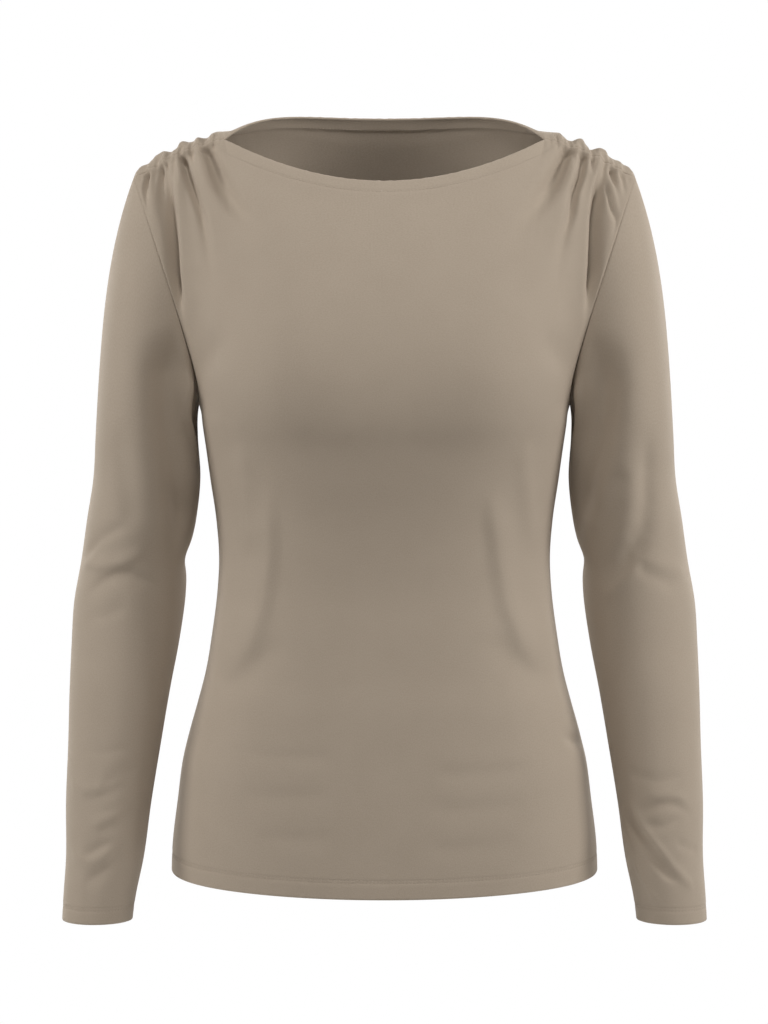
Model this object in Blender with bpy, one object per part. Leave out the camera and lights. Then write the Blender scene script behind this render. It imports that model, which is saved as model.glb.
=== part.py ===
"""A long-sleeved jersey top with a boat neck and gathered shoulders, in the hollow shape of being worn.

Each piece that is cut and sewn on is one object: front, back and two sleeves. The cloth is a wall between an
outer skin and an inner one, twice as thick where an edge is turned in and sewn down. X runs across the
wearer, -Y is the front and +Z is up. The origin is midway between the neck ends of the two shoulder seams,
where the wearer's shoulders hold the top. Sizes are in millimetres and become metres when a mesh is made.
"""

from collections import namedtuple

import bmesh
import bpy
import numpy as np

MM = 0.001

# The cloth and its seams
CLOTH = 1.2  # thickness of one layer of wall
SEAM_GAP = 0.3  # between two pieces that are sewn together
HEM_DEPTH = 15.0  # cloth turned in at each edge
CUFF_DEPTH = 12.0
NECK_HEM_DEPTH = 10.0

# The shoulder seam runs from the neck corner to the top of the sleeve, a little in front of the ridge
NECK_HALF = 127.0  # centre to neck corner
SHOULDER_HALF = 199.0  # centre to the sleeve
SHOULDER_DROP = 31.0
SHOULDER_BEND = 1.6  # how late along the seam the drop comes
SEAM_Y = -10.0
SEAM_FACING = (0.0, -0.57, 0.82)  # the way the cloth faces at the neck corner
CORNER_EASE = 0.1  # share of the neckline over which its points slow down towards the neck corner
NECK_FULLNESS = 0.85  # below 1, the neckline seen from above is fuller than its power curve

# The underarm point, where front, back and sleeve meet, and the side seams and hem below it
UNDERARM = (149.0, 4.0, -206.0)
UNDERARM_DIP = 29.0  # how much lower the underarm row runs at the centre
UNDERARM_BOW = 3  # power of its curve across the panel
HEM_SIDE_Z = -582.0

# The grids of points. NECK_SHARE of a panel's half width starts on the neckline, the rest on the shoulder seam.
NECK_SHARE = 0.40
NECK_COLUMNS = 16
SHOULDER_COLUMNS = 28
GATHER_ROWS = 5  # rows with every column, just below the shoulder seam
UPPER_ROWS = 12  # from the shoulder seam to the underarm
LOWER_ROWS = 12  # from the underarm to the hem
# Above 1, the rows crowd towards the shoulder seam and, further down, towards the underarm
ROW_CROWDING = 1.35
CAP_ROWS = 7  # from the armhole to the end of the sleeve's cap
ELBOW = (-305.0, -385.0)  # where the sleeve's rows lie closer together
UPPER_ARM_ROWS = 4
ELBOW_ROWS = 8
FOREARM_ROWS = 9

# Sections of the torso, from the chest to just past the hem
Section = namedtuple("Section", "z half_width front back squareness")
TORSO = [
    Section(-150, 151.0, 116, 110, 2.45),
    Section(-206, 149.0, 125, 107, 2.40),
    Section(-215, 145.8, 124, 105, 2.38),
    Section(-227, 144.6, 122, 102, 2.35),
    Section(-245, 142.4, 117, 98, 2.30),
    Section(-270, 139.2, 111, 92, 2.25),
    Section(-302, 134.6, 104, 85, 2.20),
    Section(-335, 132.4, 100, 80, 2.20),
    Section(-358, 133.6, 99, 81, 2.20),
    Section(-392, 137.8, 101, 86, 2.25),
    Section(-425, 143.4, 104, 93, 2.25),
    Section(-448, 149.4, 107, 99, 2.30),
    Section(-470, 155.6, 109, 104, 2.30),
    Section(-492, 161.0, 111, 108, 2.35),
    Section(-526, 165.6, 114, 112, 2.35),
    Section(-559, 169.6, 116, 114, 2.35),
    Section(-600, 171.0, 118, 115, 2.35),
]

# Rings of a sleeve, from just below the underarm to past the cuff
Ring = namedtuple("Ring", "z x half_width y half_depth")
SLEEVE = [
    Ring(-205, 189.4, 40.0, 5, 55.5),
    Ring(-235, 190.4, 40.8, 6, 55.0),
    Ring(-270, 190.6, 42.8, 9, 53.5),
    Ring(-302, 194.9, 43.7, 11, 51.0),
    Ring(-335, 200.6, 42.8, 12, 48.0),
    Ring(-369, 204.8, 44.4, 10, 47.0),
    Ring(-403, 208.0, 42.8, 4, 45.0),
    Ring(-436, 211.4, 40.2, -4, 43.0),
    Ring(-481, 215.2, 36.8, -14, 40.0),
    Ring(-526, 219.0, 33.8, -25, 37.5),
    Ring(-570, 221.4, 30.6, -35, 34.5),
    Ring(-600, 225.2, 28.4, -41, 32.0),
    Ring(-640, 228.0, 27.0, -47, 30.5),
]
CAP_END_Z = -235.0
CUFF_Z = -617.0
ROUND = 0.8  # millimetres round a sleeve for each degree

# How the sleeve's cap leaves the armhole: out at the top, at the front and back and at the underarm, and down
CAP_OUT = 0.36
CAP_OUT_SIDES = 0.18
CAP_OUT_UNDERARM = 0.28
CAP_BOW = 0.22
CAP_DOWN = 0.92

# A soft fold is a trough from one end to the other, or a ridge where depth is below 0. Its ends are given
# across and up in millimetres on a panel, and on a sleeve in degrees round from the outer side, by the front.
Fold = namedtuple("Fold", "across z across_end z_end width depth")
FOLD_ENDS = 8.0  # how soon a fold dies out past its ends
SLEEVE_FOLDS = {
    -1: [
        Fold(113, -222, 78, -330, 10, 2.6),
        Fold(40, -345, 86, -331, 9, -2.6),
        Fold(38, -360, 92, -343, 9, 3.2),
        Fold(146, -262, 140, -330, 10, 2.0),
        Fold(212, -331, 158, -337, 10, 2.8),
        Fold(300, -328, 236, -346, 11, 2.6),
        Fold(306, -366, 236, -380, 11, 2.2),
        Fold(112, -520, 48, -532, 10, 1.8),
    ],
    1: [
        Fold(60, -258, 75, -322, 10, 2.6),
        Fold(77, -322, 134, -362, 9, 3.2),
        Fold(76, -332, 40, -347, 9, -2.4),
        Fold(78, -345, 42, -359, 9, 2.8),
        Fold(134, -258, 130, -322, 10, 2.0),
        Fold(210, -331, 158, -337, 10, 2.8),
        Fold(302, -332, 238, -348, 11, 2.6),
        Fold(308, -370, 238, -384, 11, 2.2),
        Fold(150, -500, 56, -572, 10, 2.0),
    ],
}

# The neckline of a panel between the neck corners: how far it lies forward or back, how high at the centre,
# how late its bow comes towards the corners, and how much its middle dips
Neck = namedtuple("Neck", "y bow_y rise bow_z dip")
# How a panel's columns leave its top edge. at is the share of the half width: 0 at the centre, NECK_SHARE at
# the neck corner, 1 at the sleeve. The other columns are the first leg of a cubic curve down the panel.
Start = namedtuple("Start", "at inward y z")
Panel = namedtuple("Panel", "name forward neck starts end_side hem_z folds swell")
FRONT = Panel(
    name="front",
    forward=-1,
    neck=Neck(-66.0, 2.2, -37.0, 2.0, 0.0),
    starts=[Start(0.0, 0, -80, -150), Start(NECK_SHARE, 8, -118, -110), Start(1.0, 34, -135, -95)],
    end_side=225.0,
    hem_z=-592.0,
    folds=[
        Fold(-97, -262, -107, -392, 15, -2.6),
        Fold(-92, -412, -128, -440, 14, 2.0),
        Fold(104, -262, 114, -420, 15, -2.6),
        Fold(-118, -150, -144, -192, 11, 1.8),
        Fold(118, -150, 144, -192, 11, 1.8),
    ],
    swell=9.0,
)
BACK = Panel(
    name="back",
    forward=1,
    neck=Neck(64.0, 2.4, 25.0, 5.2, 1.8),
    starts=[Start(0.0, 0, 70, -105), Start(NECK_SHARE, 0, 145, 150), Start(1.0, 24, 160, 178)],
    end_side=232.0,
    hem_z=-584.0,
    folds=[
        Fold(-84, -290, -106, -372, 14, 2.8),
        Fold(80, -288, 104, -366, 14, 2.8),
        Fold(-96, -338, 96, -346, 13, 2.2),
        Fold(-80, -380, 84, -384, 13, 1.8),
    ],
    swell=0.0,
)
# How the columns reach the underarm row: straight down at the centre, sideways at the armhole
END_DOWN = 190.0
END_DOWN_ARMHOLE = 70.0
END_OUT_ARMHOLE = 34.0
ARMHOLE_TURN = 4  # power of the change from down to sideways
# The facing of an armhole edge is read this far into the panel or the sleeve. Panels and sleeve share it
# down to SHARED_BELOW of the way to the underarm, and over the next OWN_OVER each takes up its own.
BESIDE_ARMHOLE, BELOW_ARMHOLE = 0.985, 0.06
SHARED_BELOW, OWN_OVER = 0.4, 0.35

# The soft fullness over the bust: a swell on each side, whose height is the panel's
SWELL_X, SWELL_Z = 72.0, -190.0
SWELL_WIDE, SWELL_ABOVE, SWELL_BELOW = 54.0, 70.0, 46.0
SWELL_CLEAR = 60.0  # distance from the top edge over which it builds up

# Gathers: each crease crosses the shoulder seam and runs down both panels. at is its place along the seam,
# 0 at the neck and 1 at the sleeve. A run is how far it reaches, a lean how far it drifts to the centre.
Crease = namedtuple("Crease", "at depth width front_run front_lean back_run back_lean")
GATHERS = {
    -1: [
        Crease(0.23, 3.6, 4.2, 112, 42, 60, 2),
        Crease(0.38, 3.4, 3.3, 52, 9, 76, 7),
        Crease(0.50, 4.2, 3.4, 122, 24, 20, 2),
        Crease(0.61, 3.4, 3.2, 50, 4, 104, 10),
        Crease(0.76, 4.4, 4.0, 142, 16, 14, 1),
        Crease(0.89, 3.4, 3.2, 66, 2, 72, 4),
    ],
    1: [
        Crease(0.29, 3.8, 4.2, 108, 42, 80, 2),
        Crease(0.42, 2.8, 3.2, 44, 7, 22, 3),
        Crease(0.54, 4.4, 3.6, 122, 22, 102, 8),
        Crease(0.68, 4.2, 3.8, 134, 13, 14, 1),
        Crease(0.79, 3.0, 3.2, 60, 4, 70, 4),
        Crease(0.90, 3.8, 3.2, 80, 2, 58, 0),
    ],
}
CREASE_SPREAD = 0.028  # how much wider a crease gets for each millimetre that it runs
LEAN_BEND = 1.2  # power of its drift
LIP, LIP_FALL = 1.1, 0.8  # how high and how soon cloth rises beside a crease
SEAM_HOLD = 0.55  # share of its depth that a crease keeps on the seam itself
SEAM_RELEASE = 8.0  # distance from the seam at which it has its full depth
SEAM_TURN = 12.0  # distance from a shoulder seam over which the wall turns to lie flat along it
EDGE_CALM = 0.14  # share of the half width next to the armhole over which folds die out

COLOUR = (0.402, 0.333, 0.262, 1.0)
ROUGHNESS = 0.85


# Curves and directions


def cubic(t, start, leave, end, arrive):
    """The cubic from start to end that leaves and arrives with the given tangents."""
    return (
        (2 * t**3 - 3 * t**2 + 1) * start
        + (t**3 - 2 * t**2 + t) * leave
        + (3 * t**2 - 2 * t**3) * end
        + (t**3 - t**2) * arrive
    )


def through(rows, column, z):
    """A smooth curve through one column of a table, read at heights z."""
    knots = np.array([row.z for row in rows][::-1], float)
    values = np.array([getattr(row, column) for row in rows][::-1], float)
    slopes = np.gradient(values, knots)
    inside = np.clip(z, knots[0], knots[-1])
    i = np.clip(np.searchsorted(knots, inside) - 1, 0, len(knots) - 2)
    step = knots[i + 1] - knots[i]
    t = (inside - knots[i]) / step
    return cubic(t, values[i], step * slopes[i], values[i + 1], step * slopes[i + 1])


def smooth(t):
    t = np.clip(t, 0, 1)
    return t * t * (3 - 2 * t)


def eased(share):
    """Runs from 0 to 1 like share, but starts from a standstill."""
    full = 1 - CORNER_EASE * (1 - np.exp(-1 / CORNER_EASE))
    return (share - CORNER_EASE * (1 - np.exp(-share / CORNER_EASE))) / full


def unit(vectors):
    return vectors / np.linalg.norm(vectors, axis=-1, keepdims=True)


def normals(surface, u, v, step=1e-4):
    across = surface(u + step, v) - surface(u - step, v)
    down = surface(u, v + step) - surface(u, v - step)
    return unit(np.cross(down, across))


def mirrored(vectors, side):
    return vectors * np.stack([side, np.ones_like(side), np.ones_like(side)], axis=-1)


# The skins


def torso(angle, z):
    """The torso at an angle round from +X, as one smooth oval that is deeper in front than behind."""
    half, front, back, square = (
        through(TORSO, column, z) for column in ("half_width", "front", "back", "squareness")
    )
    c, s = np.cos(angle), np.sin(angle)
    depth = np.where(s < 0, front, back)
    radius = ((np.abs(c) / half) ** square + (np.abs(s) / depth) ** square) ** (-1 / square)
    return np.stack([radius * c, UNDERARM[1] + radius * s, z], axis=-1)


def edge_shares(u):
    """How far a column starts from the centre to the neck corner, and from there to the sleeve."""
    in_neck = 1 - eased(np.clip(1 - np.abs(u) / NECK_SHARE, 0, 1))
    in_seam = np.maximum(np.abs(u) - NECK_SHARE, 0) / (1 - NECK_SHARE)
    return in_neck, in_seam


def top_edge(panel, u):
    """The neckline between the neck corners, and the shoulder seams outside them."""
    neck = panel.neck
    inner, along = edge_shares(u)
    neck_y = SEAM_Y + (neck.y - SEAM_Y) * (1 - inner**neck.bow_y) ** NECK_FULLNESS
    neck_z = neck.rise * (1 - inner**neck.bow_z) - neck.dip * (1 - inner**2) ** 3
    seam = np.abs(u) >= NECK_SHARE
    x = np.where(seam, NECK_HALF + (SHOULDER_HALF - NECK_HALF) * along, NECK_HALF * inner)
    y = np.where(seam, SEAM_Y, neck_y)
    z = np.where(seam, -SHOULDER_DROP * along**SHOULDER_BEND, neck_z)
    return np.stack([np.sign(u) * x, y, z], axis=-1)


def top_tangent(panel, u):
    centre, corner, sleeve_end = (np.array([-s.inward, s.y, s.z], float) for s in panel.starts)
    inner, along = (share[..., None] for share in edge_shares(u))
    leave = centre + (corner - centre) * inner**2 + (sleeve_end - corner) * smooth(along)
    return mirrored(leave, np.sign(u))


def panel_surface(panel):
    """u runs across from -1 to 1, and v is 0 at the top edge, 1 at the underarm and 2 at the hem."""

    def lower(u, share):
        angle = panel.forward * np.pi / 2 * (1 - u)
        top = UNDERARM[2] - UNDERARM_DIP * (1 - np.abs(u) ** UNDERARM_BOW)
        hem = HEM_SIDE_Z + (panel.hem_z - HEM_SIDE_Z) * (1 - u**2)
        return torso(angle, top + (hem - top) * share)

    def surface(u, v):
        u, v = np.broadcast_arrays(np.asarray(u, float), np.asarray(v, float))
        small = 1e-4
        row = lower(u, np.zeros_like(u))
        falling = unit(lower(u, np.full_like(u, small)) - row)
        outward = unit(lower(u + small, np.zeros_like(u)) - row) * np.sign(u)[..., None]
        edge = (np.abs(u) ** ARMHOLE_TURN)[..., None]
        arrive = falling * (END_DOWN + (END_DOWN_ARMHOLE - END_DOWN) * edge)
        arrive += outward * panel.end_side * edge
        arrive[..., 0] += np.sign(u) * END_OUT_ARMHOLE * edge[..., 0]
        t = np.clip(v, None, 1)[..., None]
        upper = cubic(t, top_edge(panel, u), top_tangent(panel, u), row, arrive)
        return np.where((v < 1)[..., None], upper, lower(u, np.maximum(v - 1, 0)))

    return surface


def armhole(side, angle):
    """Points at angles round an armhole: down the front's edge to 180 degrees, then up the back's."""
    turns = np.mod(np.asarray(angle, float), 2 * np.pi) / np.pi
    front = panel_surface(FRONT)(np.full_like(turns, side), np.clip(turns, 0, 1))
    back = panel_surface(BACK)(np.full_like(turns, side), np.clip(2 - turns, 0, 1))
    return np.where((turns <= 1)[..., None], front, back)


def sleeve_surface(side):
    """angle runs from the outer side by the front, and w is 0 at the armhole, 1 under the cap, 2 at the cuff."""

    def ring(angle, z):
        x, half_width, y, half_depth = (
            through(SLEEVE, column, z) for column in ("x", "half_width", "y", "half_depth")
        )
        return np.stack([side * (x + half_width * np.cos(angle)), y - half_depth * np.sin(angle), z], axis=-1)

    def surface(angle, w):
        angle, w = np.broadcast_arrays(np.asarray(angle, float), np.asarray(w, float))
        start = armhole(side, angle)
        end = ring(angle, np.full_like(angle, CAP_END_Z))
        falling = unit(ring(angle, np.full_like(angle, CAP_END_Z - 1)) - end)
        length = np.linalg.norm(end - start, axis=-1, keepdims=True)
        out = CAP_OUT * np.cos(angle / 2) ** 2 + CAP_OUT_UNDERARM * np.sin(angle / 2) ** 2
        out += CAP_OUT_SIDES * np.sin(angle) ** 2
        leave = np.stack([side * out, -CAP_BOW * np.sin(angle), np.full_like(angle, -CAP_DOWN)], axis=-1)
        t = np.clip(w, None, 1)[..., None]
        cap = cubic(t, start, leave * length, end, falling * length)
        below = ring(angle, CAP_END_Z + (CUFF_Z - CAP_END_Z) * np.maximum(w - 1, 0))
        return np.where((w < 1)[..., None], cap, below)

    return surface


# The way the wall faces, and the creases in it


def armhole_facing(side, angle, own):
    """The way an edge at the armhole faces. Panel and sleeve share one direction over the shoulder, where
    their outsides fold apart, and each keeps its own at the underarm, where they fold together."""
    turns = np.mod(angle, 2 * np.pi) / np.pi
    height = 1 - np.abs(turns - 1)
    beside, below = np.full_like(turns, BESIDE_ARMHOLE), np.full_like(turns, BELOW_ARMHOLE)
    front = normals(panel_surface(FRONT), beside, height) * (turns <= 1)[..., None]
    back = -normals(panel_surface(BACK), beside, height) * ((turns >= 1) | (turns == 0))[..., None]
    sleeve = -normals(sleeve_surface(1), angle, below)
    shared = mirrored(unit(unit(front + back) + sleeve), np.full_like(turns, side))
    return unit(shared + (own - shared) * smooth((height - SHARED_BELOW) / OWN_OVER)[..., None])


def seam_facing(u):
    """The same for front and back along a shoulder seam."""
    along = np.clip((np.abs(u) - NECK_SHARE) / (1 - NECK_SHARE), 0, 1)[..., None]
    sleeve_end = armhole_facing(1, np.zeros(1), np.zeros(3))
    return mirrored(unit(SEAM_FACING + (sleeve_end - SEAM_FACING) * along**2), np.sign(u))


def crease_depth(panel, points, run):
    """How far the gathers push the cloth in at points that lie run millimetres from the shoulder seam."""
    depth = np.zeros(points.shape[:-1])
    for side, creases in GATHERS.items():
        for crease in creases:
            reach, lean = (
                (crease.front_run, crease.front_lean)
                if panel is FRONT
                else (crease.back_run, crease.back_lean)
            )
            share = np.clip(run / reach, 0, 1)
            middle = NECK_HALF + (SHOULDER_HALF - NECK_HALF) * crease.at - lean * share**LEAN_BEND
            width = crease.width * (1 + CREASE_SPREAD * run)
            off = (points[..., 0] * side - middle) / width
            depth += crease.depth * (1 - smooth(share)) * (1 - LIP * off**2) * np.exp(-LIP_FALL * off**2)
    return depth * (SEAM_HOLD + (1 - SEAM_HOLD) * smooth(run / SEAM_RELEASE))


def fold_depth(folds, across, z):
    depth = np.zeros(np.shape(z))
    for fold in folds:
        line = np.array([fold.across_end - fold.across, fold.z_end - fold.z])
        length = np.hypot(*line)
        along = ((across - fold.across) * line[0] + (z - fold.z) * line[1]) / length**2
        off = ((across - fold.across) * line[1] - (z - fold.z) * line[0]) / length / fold.width
        depth += fold.depth * np.exp(-FOLD_ENDS * (along - 0.5) ** 2 - off**2)
    return depth


def swell_height(points):
    """The bust's fullness, as a share of its height."""
    z = points[..., 2] - SWELL_Z
    tall = np.where(z > 0, SWELL_ABOVE, SWELL_BELOW)
    return sum(
        np.exp(-(((points[..., 0] - x) / SWELL_WIDE) ** 2) - (z / tall) ** 2) for x in (-SWELL_X, SWELL_X)
    )


def panel_skin(panel, u, v):
    """Outer points of one row of a panel, at height v, and the way its wall faces there."""
    surface = panel_surface(panel)
    height = np.full_like(u, v)
    points = surface(u, height)
    facing = -panel.forward * normals(surface, u, height)
    if v > 1:
        depth = fold_depth(panel.folds, points[:, 0], points[:, 2])
        depth -= panel.swell * swell_height(points)
        return points - facing * (depth * edge_calm(u))[:, None], facing
    run = np.linalg.norm(points - top_edge(panel, u), axis=-1)
    in_seam = np.where(u < 0, -1, 1) * np.maximum(np.abs(u), NECK_SHARE)
    near = 1 - smooth(np.linalg.norm(points - top_edge(panel, in_seam), axis=-1) / SEAM_TURN)
    facing = unit(facing + (seam_facing(in_seam) - facing) * near[:, None])
    angle = np.array([np.pi * (v if panel is FRONT else 2 - v)])
    for end, side in ((0, -1), (-1, 1)):
        facing[end] = armhole_facing(side, angle, facing[end])[0]
    depth = crease_depth(panel, points, run)
    depth += fold_depth(panel.folds, points[:, 0], points[:, 2])
    depth -= panel.swell * swell_height(points) * smooth(run / SWELL_CLEAR)
    return points - facing * (depth * (edge_calm(u) if v > 0 else 1))[:, None], facing


def edge_calm(u):
    return 1 - smooth((np.abs(u) - 1 + EDGE_CALM) / EDGE_CALM)


def sleeve_skin(side, angle, w):
    """Outer points of one ring of a sleeve and the way its wall faces there."""
    surface = sleeve_surface(side)
    points = surface(angle, w)
    facing = -side * normals(surface, angle, np.full_like(angle, w))
    if w == 0:
        return points, armhole_facing(side, angle, facing)
    round_mm = [fold._replace(across=fold.across * ROUND, across_end=fold.across_end * ROUND)
                for fold in SLEEVE_FOLDS[side]]
    depth = fold_depth(round_mm, np.degrees(angle) * ROUND, points[:, 2])
    return points - facing * (depth * smooth(w))[:, None], facing


# Meshes


def sew_rows(mesh, above, below):
    """Faces between two rows of points, of which one may have half the other's intervals."""
    if len(above) == len(below):
        for a, b, c, d in zip(above[:-1], above[1:], below[1:], below[:-1]):
            mesh.faces.new((a, b, c, d))
        return
    fine, coarse = (above, below) if len(above) > len(below) else (below, above)
    for i, (left, right) in enumerate(zip(coarse[:-1], coarse[1:])):
        a, b, c = fine[2 * i : 2 * i + 3]
        mesh.faces.new((a, b, left))
        mesh.faces.new((b, right, left))
        mesh.faces.new((b, c, right))


def wall_object(name, rows, closed):
    """A closed wall from rows of outer points, facing directions and thicknesses."""
    mesh = bmesh.new()
    skins = [[], []]
    for points, facing, thickness in rows:
        for skin, layer in zip(skins, (points, points - facing * np.reshape(thickness, (-1, 1)))):
            made = [mesh.verts.new(point * MM) for point in layer]
            skin.append(made + made[:1] if closed else made)
    outer, inner = skins
    for skin in skins:
        for above, below in zip(skin[:-1], skin[1:]):
            sew_rows(mesh, above, below)
    sew_rows(mesh, inner[0], outer[0])
    sew_rows(mesh, outer[-1], inner[-1])
    if not closed:
        for end in (0, -1):
            sew_rows(mesh, [row[end] for row in outer], [row[end] for row in inner])
    bmesh.ops.recalc_face_normals(mesh, faces=mesh.faces)
    data = bpy.data.meshes.new(name)
    mesh.to_mesh(data)
    mesh.free()
    data.shade_smooth()
    data.set_sharp_from_angle(angle=np.radians(50))
    data.materials.append(bpy.data.materials["jersey"])
    bpy.data.collections["top"].objects.link(bpy.data.objects.new(name, data))


def make_jersey():
    material = bpy.data.materials.new("jersey")
    material.use_nodes = True
    shader = material.node_tree.nodes["Principled BSDF"]
    shader.inputs["Base Color"].default_value = COLOUR
    shader.inputs["Roughness"].default_value = ROUGHNESS
    shader.inputs["Metallic"].default_value = 0.0


# Pieces


def crowded(rows):
    return (np.arange(rows + 1) / rows) ** ROW_CROWDING


def neckline_distance(panel, points):
    edge = top_edge(panel, np.linspace(-NECK_SHARE, NECK_SHARE, 8 * NECK_COLUMNS + 1))
    return np.linalg.norm(points[:, None] - edge, axis=-1).min(axis=1)


def make_panel(panel):
    """The front or back. Its sewn edges stand back by half a seam gap."""
    neck = np.linspace(-NECK_SHARE, NECK_SHARE, NECK_COLUMNS + 1)
    shoulder = np.linspace(NECK_SHARE, 1, SHOULDER_COLUMNS + 1)[1:]
    columns = np.concatenate([-shoulder[::-1], neck, shoulder])
    hem_top = 2 - HEM_DEPTH / (UNDERARM[2] - HEM_SIDE_Z)
    heights = np.concatenate([crowded(UPPER_ROWS), 1 + (hem_top - 1) * crowded(LOWER_ROWS)[1:], [2.0]])
    rows = []
    for i, v in enumerate(heights):
        u = columns if i <= GATHER_ROWS else columns[::2]
        points, facing = panel_skin(panel, u, v)
        turned_in = (neckline_distance(panel, points) < NECK_HEM_DEPTH) | (v >= hem_top)
        if v <= 1:
            points[[0, -1], 0] += [SEAM_GAP / 2, -SEAM_GAP / 2]
        if v >= 1:
            points[[0, -1], 1] += panel.forward * SEAM_GAP / 2
        if v == 0:
            points[np.abs(u) >= NECK_SHARE, 1] += panel.forward * SEAM_GAP / 2
        rows.append((points, facing, np.where(turned_in, 2 * CLOTH, CLOTH)))
    wall_object(panel.name, rows, closed=False)


def round_the_armhole(shares):
    """Angles down the front's edge at the given shares of it, and back up the back's."""
    return np.pi * np.concatenate([shares, 2 - shares[-2:0:-1]])


def make_sleeve(name, side):
    """A sleeve. Its cap is sewn to the armhole point to point, and below it the points spread evenly."""
    cuff_top = CUFF_Z + CUFF_DEPTH
    heights = np.concatenate(
        [
            np.linspace(CAP_END_Z, ELBOW[0], UPPER_ARM_ROWS + 1)[1:],
            np.linspace(*ELBOW, ELBOW_ROWS + 1)[1:],
            np.linspace(ELBOW[1], cuff_top, FOREARM_ROWS + 1)[1:],
            [CUFF_Z],
        ]
    )
    down = 1 + (CAP_END_Z - heights) / (CAP_END_Z - CUFF_Z)
    sewn = round_the_armhole(crowded(UPPER_ROWS))
    even = round_the_armhole(np.linspace(0, 1, UPPER_ROWS + 1))
    rows = []
    for w in np.concatenate([np.linspace(0, 1, CAP_ROWS + 1), down]):
        points, facing = sleeve_skin(side, sewn + (even - sewn) * smooth(w), w)
        if w == 0:
            points[:, 0] += side * SEAM_GAP / 2
        rows.append((points, facing, CLOTH * (2 if w >= down[-2] else 1)))
    wall_object(name, rows, closed=True)


def main():
    for old in list(bpy.data.objects):
        bpy.data.objects.remove(old)
    bpy.context.scene.collection.children.link(bpy.data.collections.new("top"))
    make_jersey()
    make_panel(FRONT)
    make_panel(BACK)
    make_sleeve("sleeve_right", -1)
    make_sleeve("sleeve_left", 1)


main()
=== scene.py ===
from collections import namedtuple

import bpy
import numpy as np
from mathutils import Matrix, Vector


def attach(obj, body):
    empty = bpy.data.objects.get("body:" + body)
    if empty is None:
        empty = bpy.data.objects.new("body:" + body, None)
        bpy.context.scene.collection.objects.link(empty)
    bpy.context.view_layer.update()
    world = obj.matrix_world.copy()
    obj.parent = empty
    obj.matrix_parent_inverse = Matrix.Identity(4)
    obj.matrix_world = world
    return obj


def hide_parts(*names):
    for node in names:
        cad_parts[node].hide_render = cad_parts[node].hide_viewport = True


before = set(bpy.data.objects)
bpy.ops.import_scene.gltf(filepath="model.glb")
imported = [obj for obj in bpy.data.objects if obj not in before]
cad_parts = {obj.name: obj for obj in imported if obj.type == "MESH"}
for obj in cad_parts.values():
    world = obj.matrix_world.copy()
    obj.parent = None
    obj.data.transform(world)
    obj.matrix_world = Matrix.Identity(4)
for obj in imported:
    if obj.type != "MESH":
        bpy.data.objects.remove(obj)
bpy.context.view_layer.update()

# A long-sleeved boat-neck top in taupe jersey with gathered shoulders, in the hollow shape of being worn.
# It is put together in the order of sewing: front and back, then the sleeves, each with its own stitching.
# X runs across the wearer, -Y is the front, +Z is up. Sizes are in millimetres until a mesh is made.


# ------------------------------------------------------------------------------------------------------------
# Front and back: one piece of soft viscose jersey each, gathered into the two shoulder seams and sewn together
# down the sides. Neck edge and hem are turned in and sewn down, with one row of stitches at the neck and two
# at the hem.

MM = 0.001
JERSEY = 1.0  # thickness of one layer
TURNED_IN = 2.1  # thickness where an edge is turned in and sewn down
TURNED_STEP = 0.8  # the thickness steps up over this
THINNEST = 0.12
SEWN_APART = 0.06  # each sewn edge stands back from the seam by this
SEAM_ALLOWANCE = 3.2  # how far a sewn edge turns inwards
ALLOWANCE_STOPS = 3.0  # how far from the hem and the neck edge it stops
NECK_TURNED, NECK_STITCHES = 11.5, (10.0,)
HEM_TURNED, HEM_STITCHES = 17.5, (13.5, 15.5)

NECK_HALF = 127.0  # centre to neck corner
SHOULDER_HALF = 199.0  # centre to the sleeve
SHOULDER_DROP, SHOULDER_BEND = 31.0, 1.6  # the fall of the shoulder seam and the power that bends it
SHOULDER_SEAM_Y = -10.0  # a little in front of the ridge
SHOULDER_SEAM_FACING = (0.0, -0.57, 0.82)
NECK_SHARE = 0.40  # share of a panel's half width that starts on the neckline
CORNER_EASE = 0.1  # share of the neckline beside its corners where columns lie closer
NECK_FULLNESS = 0.85  # below 1, the neckline is fuller than an oval

UNDERARM_Y, UNDERARM_Z = 4.0, -206.0
UNDERARM_DIP, UNDERARM_BOW = 29.0, 3  # how far below it the upper part ends at the centre, and the power
HEM_SIDE_Z = -582.0

# The body from the chest to just past the hem: height, half width, depth in front and behind, squareness
TorsoSection = namedtuple("TorsoSection", "z half_width front back squareness")
TORSO = [TorsoSection(*row) for row in (
    (-150, 151.0, 116, 110, 2.45),
    (-206, 149.0, 125, 107, 2.40),
    (-215, 145.8, 124, 105, 2.38),
    (-227, 144.6, 122, 102, 2.35),
    (-245, 142.4, 117, 98, 2.30),
    (-270, 139.2, 111, 92, 2.25),
    (-302, 134.6, 104, 85, 2.20),
    (-335, 132.4, 100, 80, 2.20),
    (-358, 133.6, 99, 81, 2.20),
    (-392, 137.8, 101, 86, 2.25),
    (-425, 143.4, 104, 93, 2.25),
    (-448, 149.4, 107, 99, 2.30),
    (-470, 155.6, 109, 104, 2.30),
    (-492, 161.0, 111, 108, 2.35),
    (-526, 165.6, 114, 112, 2.35),
    (-559, 169.6, 116, 114, 2.35),
    (-600, 171.0, 118, 115, 2.35),
)]

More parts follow.
